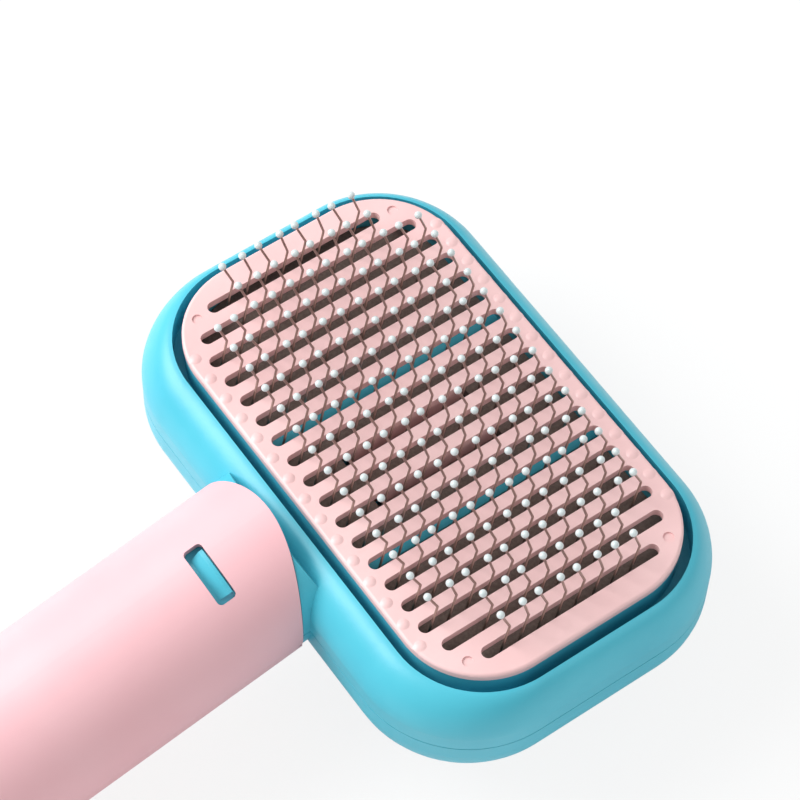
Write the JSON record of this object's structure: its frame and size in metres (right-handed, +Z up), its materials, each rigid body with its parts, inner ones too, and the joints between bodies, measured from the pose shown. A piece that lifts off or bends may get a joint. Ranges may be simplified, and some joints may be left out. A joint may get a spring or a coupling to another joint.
{
  "type": "slicker brush",
  "caption": "Self-cleaning pet grooming brush: bent wire pins with ball tips, and a slotted plate that a sprung button on the back pushes out to shed the hair.",
  "frame": {"origin": "on the table under the middle of the brush's box, as it lies on its button and the end of its handle", "axes": "+X from the handle towards the head, +Y along the head's long side, +Z up; the pins point up and lean 5.6 degrees towards +X"},
  "size_m": [0.2002, 0.1084, 0.0521],
  "materials": {
    "blue_plastic": "satin",
    "tray_plastic": "satin",
    "pink_plastic": "satin",
    "carrier_plastic": "satin",
    "button_plastic": "satin",
    "handle_plastic": "soft matte",
    "pad_rubber": "matte",
    "pin_wire": "drawn",
    "tip_resin": "gloss",
    "spring_steel": "drawn",
    "screw_steel": "zinc plated"
  },
  "bodies": {
    "brush": {"front_shell": "blue_plastic", "back_cover": "blue_plastic", "pin_tray": "tray_plastic", "return_spring": "spring_steel", "cover_screws": "screw_steel", "handle": "handle_plastic", "pin_pad_1": "pad_rubber", "pin_pad_2": "pad_rubber", "pin_pad_3": "pad_rubber", "pin_row_01": "pin_wire", "pin_tips_01": "tip_resin", "pin_row_02": "pin_wire", "pin_tips_02": "tip_resin", "pin_row_03": "pin_wire", "pin_tips_03": "tip_resin", "pin_row_04": "pin_wire", "pin_tips_04": "tip_resin", "pin_row_05": "pin_wire", "pin_tips_05": "tip_resin", "pin_row_06": "pin_wire", "pin_tips_06": "tip_resin", "pin_row_07": "pin_wire", "pin_tips_07": "tip_resin", "pin_row_08": "pin_wire", "pin_tips_08": "tip_resin", "pin_row_09": "pin_wire", "pin_tips_09": "tip_resin", "pin_row_10": "pin_wire", "pin_tips_10": "tip_resin", "pin_row_11": "pin_wire", "pin_tips_11": "tip_resin", "pin_row_12": "pin_wire", "pin_tips_12": "tip_resin", "pin_row_13": "pin_wire", "pin_tips_13": "tip_resin", "pin_row_14": "pin_wire", "pin_tips_14": "tip_resin", "pin_row_15": "pin_wire", "pin_tips_15": "tip_resin", "pin_row_16": "pin_wire", "pin_tips_16": "tip_resin", "pin_row_17": "pin_wire", "pin_tips_17": "tip_resin", "pin_row_18": "pin_wire", "pin_tips_18": "tip_resin"},
    "cleaner": {"cleaning_plate": "pink_plastic", "push_carrier": "carrier_plastic", "push_button": "button_plastic", "button_screws": "screw_steel"}
  },
  "joints": [
    {"name": "plate_slide", "type": "slide", "parent": "brush", "child": "cleaner", "axis": [0.0975, 0, 0.9952], "range_m": [0, 0.01], "stiffness_N_per_m": 740, "springref_m": -0.005, "deforming": ["return_spring"]}
  ]
}
